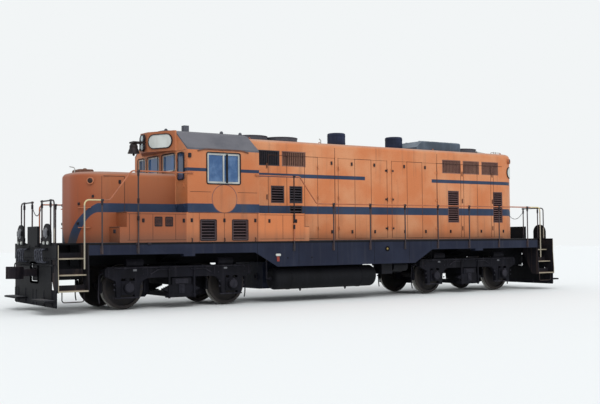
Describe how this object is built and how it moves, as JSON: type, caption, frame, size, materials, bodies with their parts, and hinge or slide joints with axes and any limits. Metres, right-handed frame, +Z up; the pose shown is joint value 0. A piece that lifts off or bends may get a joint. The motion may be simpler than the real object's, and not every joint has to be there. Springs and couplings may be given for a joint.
{
  "type": "diesel locomotive",
  "caption": "Four-axle road-switcher diesel locomotive with raised short hood, side walkways, hollow cab, swivelling trucks, rolling wheelsets, roof fans and hinged doors.",
  "frame": {"origin": "on the centre line, half way between the coupler faces, at the lowest point of the wheel flanges", "axes": "+X forward to the short hood, +Y to the left side, +Z up"},
  "size_m": [17.12, 3.1518, 4.6003],
  "materials": {
    "body_paint": "orange enamel, weathered satin",
    "dark_paint": "dark blue-grey enamel, dusty",
    "black_paint": "black paint, dusty",
    "step_paint": "dark paint with pale edges, worn",
    "truck_black": "black paint under road grime",
    "wheel_steel": "rolled steel, rusty, bright tread",
    "cast_steel": "rough cast steel, rusty",
    "roof_paint": "grey roof paint, sooty",
    "window_glass": "clear safety glass",
    "frame_metal": "weathered aluminium sash",
    "board_white": "blank translucent board",
    "lamp_glass": "sealed-beam lamp glass",
    "bell_bronze": "dark painted bell",
    "horn_metal": "weathered horn",
    "seat_vinyl": "dark vinyl",
    "stand_paint": "grey-green enamel",
    "shutter_metal": "dark shutters, rusty",
    "engine_paint": "grey engine enamel, oily",
    "stack_metal": "black heat-proof paint, sooty",
    "fan_metal": "dark fan blades",
    "rail_paint": "painted round bar, pale at the ends"
  },
  "bodies": {
    "carbody": {"air_reservoirs": "black_paint", "bell": "bell_bronze", "brake_equipment": "black_paint", "cab_floor": "dark_paint", "cab_front": "body_paint", "cab_glass": "window_glass", "cab_rear": "body_paint", "cab_roof": "roof_paint", "cab_seats": "seat_vinyl", "cab_sides": "body_paint", "control_stand": "stand_paint", "couplers": "cast_steel", "engine": "engine_paint", "exhaust_stacks": "stack_metal", "fan_housings": "body_paint", "fuel_tank": "black_paint", "handrails": "rail_paint", "headlights": "lamp_glass", "hood_end": "body_paint", "hood_louvres": "shutter_metal", "hood_roof": "body_paint", "hood_sides": "body_paint", "horn": "horn_metal", "light_housing": "body_paint", "nose": "body_paint", "number_boards": "board_white", "pilots": "black_paint", "radiator_shutters": "shutter_metal", "roof_hatch": "stack_metal", "side_sills": "dark_paint", "stanchions": "rail_paint", "steps": "step_paint", "underframe": "dark_paint", "walkway_boxes": "body_paint", "window_frames": "frame_metal"},
    "truck_front": {"truck_frame_front": "truck_black", "truck_motors_front": "truck_black", "truck_rigging_front": "truck_black"},
    "truck_rear": {"truck_frame_rear": "truck_black", "truck_motors_rear": "truck_black", "truck_rigging_rear": "truck_black"},
    "wheelset_1": {"wheelset_1": "wheel_steel"},
    "wheelset_2": {"wheelset_2": "wheel_steel"},
    "wheelset_3": {"wheelset_3": "wheel_steel"},
    "wheelset_4": {"wheelset_4": "wheel_steel"},
    "fan_rotor_1": {"fan_rotor_1": "fan_metal"},
    "fan_rotor_2": {"fan_rotor_2": "fan_metal"},
    "fan_rotor_3": {"fan_rotor_3": "fan_metal"},
    "cab_door_front": {"cab_door_front": "body_paint"},
    "cab_door_rear": {"cab_door_rear": "body_paint"},
    "engine_door_left_a": {"engine_door_left_a": "body_paint"},
    "engine_door_left_b": {"engine_door_left_b": "body_paint"},
    "engine_door_left_c": {"engine_door_left_c": "body_paint"},
    "engine_door_left_d": {"engine_door_left_d": "body_paint"},
    "engine_door_left_e": {"engine_door_left_e": "body_paint"},
    "engine_door_right_a": {"engine_door_right_a": "body_paint"},
    "engine_door_right_b": {"engine_door_right_b": "body_paint"},
    "engine_door_right_c": {"engine_door_right_c": "body_paint"},
    "engine_door_right_d": {"engine_door_right_d": "body_paint"},
    "engine_door_right_e": {"engine_door_right_e": "body_paint"}
  },
  "joints": [
    {"name": "truck_front_swivel", "type": "hinge", "parent": "carbody", "child": "truck_front", "pos_m": [4.7245, 0, 1.0104], "axis": [0, 0, 1], "range_deg": [-6, 6]},
    {"name": "truck_rear_swivel", "type": "hinge", "parent": "carbody", "child": "truck_rear", "pos_m": [-4.7245, 0, 1.0104], "axis": [0, 0, 1], "range_deg": [-6, 6]},
    {"name": "wheelset_1_roll", "type": "hinge", "parent": "truck_front", "child": "wheelset_1", "pos_m": [6.096, 0, 0.5334], "axis": [0, 1, 0], "continuous": true},
    {"name": "wheelset_2_roll", "type": "hinge", "parent": "truck_front", "child": "wheelset_2", "pos_m": [3.353, 0, 0.5334], "axis": [0, 1, 0], "continuous": true},
    {"name": "wheelset_3_roll", "type": "hinge", "parent": "truck_rear", "child": "wheelset_3", "pos_m": [-3.353, 0, 0.5334], "axis": [0, 1, 0], "continuous": true},
    {"name": "wheelset_4_roll", "type": "hinge", "parent": "truck_rear", "child": "wheelset_4", "pos_m": [-6.096, 0, 0.5334], "axis": [0, 1, 0], "continuous": true},
    {"name": "fan_rotor_1_spin", "type": "hinge", "parent": "carbody", "child": "fan_rotor_1", "pos_m": [2.15, 0, 4.2704], "axis": [0, 0, 1], "continuous": true},
    {"name": "fan_rotor_2_spin", "type": "hinge", "parent": "carbody", "child": "fan_rotor_2", "pos_m": [1.19, 0, 4.2704], "axis": [0, 0, 1], "continuous": true},
    {"name": "fan_rotor_3_spin", "type": "hinge", "parent": "carbody", "child": "fan_rotor_3", "pos_m": [-5.5, 0, 4.2704], "axis": [0, 0, 1], "continuous": true},
    {"name": "cab_door_front_hinge", "type": "hinge", "parent": "carbody", "child": "cab_door_front", "pos_m": [4.786, 0.97, 3], "axis": [0, 0, -1], "range_deg": [0, 90]},
    {"name": "cab_door_rear_hinge", "type": "hinge", "parent": "carbody", "child": "cab_door_rear", "pos_m": [2.774, -0.97, 3], "axis": [0, 0, -1], "range_deg": [0, 90]},
    {"name": "engine_door_left_a_hinge", "type": "hinge", "parent": "carbody", "child": "engine_door_left_a", "pos_m": [0.6, 0.936, 2.7], "axis": [0, 0, -1], "range_deg": [0, 90]},
    {"name": "engine_door_left_b_hinge", "type": "hinge", "parent": "carbody", "child": "engine_door_left_b", "pos_m": [-0.08143, 0.936, 2.7], "axis": [0, 0, -1], "range_deg": [0, 90]},
    {"name": "engine_door_left_c_hinge", "type": "hinge", "parent": "carbody", "child": "engine_door_left_c", "pos_m": [-1.78071, 0.936, 2.7], "axis": [0, 0, 1], "range_deg": [0, 90]},
    {"name": "engine_door_left_d_hinge", "type": "hinge", "parent": "carbody", "child": "engine_door_left_d", "pos_m": [-1.95071, 0.936, 2.7], "axis": [0, 0, -1], "range_deg": [0, 90]},
    {"name": "engine_door_left_e_hinge", "type": "hinge", "parent": "carbody", "child": "engine_door_left_e", "pos_m": [-3.65, 0.936, 2.7], "axis": [0, 0, 1], "range_deg": [0, 90]},
    {"name": "engine_door_right_a_hinge", "type": "hinge", "parent": "carbody", "child": "engine_door_right_a", "pos_m": [0.6, -0.936, 2.7], "axis": [0, 0, 1], "range_deg": [0, 90]},
    {"name": "engine_door_right_b_hinge", "type": "hinge", "parent": "carbody", "child": "engine_door_right_b", "pos_m": [-0.08143, -0.936, 2.7], "axis": [0, 0, 1], "range_deg": [0, 90]},
    {"name": "engine_door_right_c_hinge", "type": "hinge", "parent": "carbody", "child": "engine_door_right_c", "pos_m": [-1.78071, -0.936, 2.7], "axis": [0, 0, -1], "range_deg": [0, 90]},
    {"name": "engine_door_right_d_hinge", "type": "hinge", "parent": "carbody", "child": "engine_door_right_d", "pos_m": [-1.95071, -0.936, 2.7], "axis": [0, 0, 1], "range_deg": [0, 90]},
    {"name": "engine_door_right_e_hinge", "type": "hinge", "parent": "carbody", "child": "engine_door_right_e", "pos_m": [-3.65, -0.936, 2.7], "axis": [0, 0, -1], "range_deg": [0, 90]}
  ]
}
